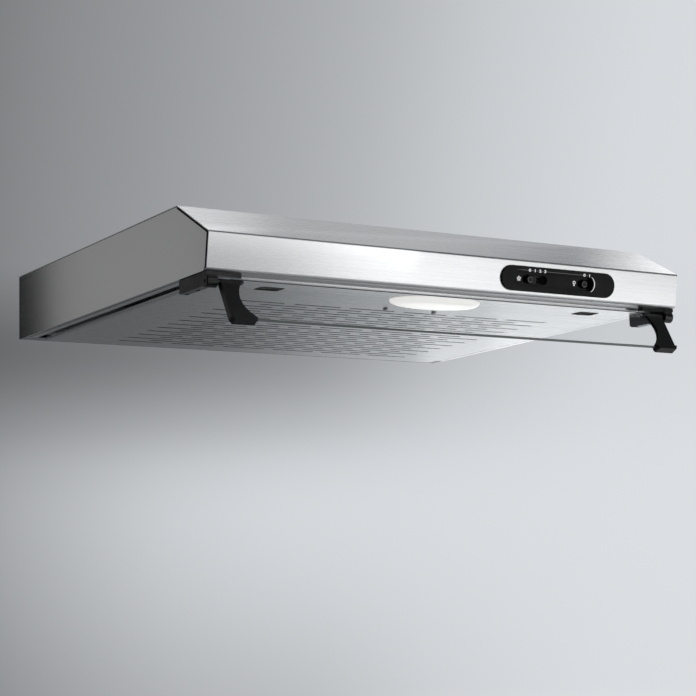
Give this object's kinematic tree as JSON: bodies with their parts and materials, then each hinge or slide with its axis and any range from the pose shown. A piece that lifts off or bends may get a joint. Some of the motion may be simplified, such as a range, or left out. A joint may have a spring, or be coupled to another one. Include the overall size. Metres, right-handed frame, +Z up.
{
  "type": "under cabinet range hood",
  "caption": "Slim steel under-cabinet cooker hood with a sloped front, slotted hinged filter tray, hinged glass visor on two black arms, slide switches, lamp, blower and duct collar.",
  "frame": {"origin": "centre of the flat top, which lies against the cabinet's underside", "axes": "+Z up out of the top, +Y back towards the wall, +X to the user's right"},
  "size_m": [0.6, 0.5092, 0.1629],
  "materials": {
    "steel": "satin brushed along the width",
    "zinc": "galvanised sheet",
    "black_plastic": "fine grained moulded plastic",
    "grey_plastic": "moulded plastic",
    "white_plastic": "smooth moulded plastic",
    "lens": "opal diffuser",
    "visor": "clear float glass",
    "lamp": "opal glass",
    "felt": "matted synthetic fibre",
    "brass": "turned"
  },
  "bodies": {
    "hood": {"canopy": "steel", "side_panel_left": "steel", "side_panel_right": "steel", "side_rail_left": "steel", "side_rail_right": "steel", "back_panel": "zinc", "outlet_collar": "black_plastic", "flap_pin": "zinc", "scroll_housing": "grey_plastic", "motor_plate": "zinc", "inlet_ring": "grey_plastic", "motor_body": "zinc", "capacitor": "white_plastic", "terminal_box": "white_plastic", "terminal_cover": "white_plastic", "terminal_block": "white_plastic", "cable_gland": "black_plastic", "lamp_bracket": "zinc", "lamp_socket": "white_plastic", "lamp_bulb": "lamp", "control_bezel": "black_plastic", "speed_switch": "grey_plastic", "light_switch": "grey_plastic", "control_housing": "grey_plastic", "tray_pin_left": "zinc", "tray_pin_right": "zinc", "visor_bracket_left": "black_plastic", "visor_bracket_right": "black_plastic", "pivot_pin_left": "zinc", "pivot_pin_right": "zinc", "bracket_screw_front_left": "zinc", "bracket_screw_front_right": "zinc", "bracket_screw_rear_left": "zinc", "bracket_screw_rear_right": "zinc"},
    "visor": {"visor_glass": "visor", "visor_arm_left": "black_plastic", "visor_arm_right": "black_plastic"},
    "filter_panel": {"filter_tray": "steel", "lamp_lens": "lens", "filter_mat": "felt", "mat_retainer_front": "zinc", "mat_retainer_rear": "zinc", "lens_screw_left": "zinc", "lens_screw_right": "zinc"},
    "left_latch": {"latch_left": "black_plastic"},
    "right_latch": {"latch_right": "black_plastic"},
    "speed_slider": {"speed_knob": "black_plastic"},
    "light_slider": {"light_knob": "black_plastic"},
    "fan": {"impeller": "black_plastic", "motor_shaft": "zinc", "impeller_nut": "brass"},
    "front_flap": {"flap_front": "grey_plastic"},
    "rear_flap": {"flap_rear": "grey_plastic"}
  },
  "joints": [
    {"name": "visor_hinge", "type": "hinge", "parent": "hood", "child": "visor", "pos_m": [0, -0.26755, -0.0858], "axis": [-1, 0, 0], "range_deg": [-45, 60]},
    {"name": "tray_hinge", "type": "hinge", "parent": "hood", "child": "filter_panel", "pos_m": [0, 0.18375, -0.071], "axis": [1, 0, 0], "range_deg": [0, 85]},
    {"name": "latch_left_slide", "type": "slide", "parent": "filter_panel", "child": "left_latch", "axis": [0, 1, 0], "range_m": [0, 0.005], "stiffness_N_per_m": 400, "springref_m": -0.003},
    {"name": "latch_right_slide", "type": "slide", "parent": "filter_panel", "child": "right_latch", "axis": [0, 1, 0], "range_m": [0, 0.005], "stiffness_N_per_m": 400, "springref_m": -0.003},
    {"name": "speed_slide", "type": "slide", "parent": "hood", "child": "speed_slider", "axis": [1, 0, 0], "range_m": [0, 0.0204]},
    {"name": "light_slide", "type": "slide", "parent": "hood", "child": "light_slider", "axis": [1, 0, 0], "range_m": [0, 0.0065]},
    {"name": "fan_spin", "type": "hinge", "parent": "hood", "child": "fan", "pos_m": [-0.085, -0.01975, -0.02], "axis": [0, 0, 1], "continuous": true},
    {"name": "front_flap_hinge", "type": "hinge", "parent": "hood", "child": "front_flap", "pos_m": [0, 0.105, 0.008], "axis": [-1, 0, 0], "range_deg": [0, 75]},
    {"name": "rear_flap_hinge", "type": "hinge", "parent": "hood", "child": "rear_flap", "pos_m": [0, 0.105, 0.008], "axis": [1, 0, 0], "range_deg": [0, 75]}
  ]
}
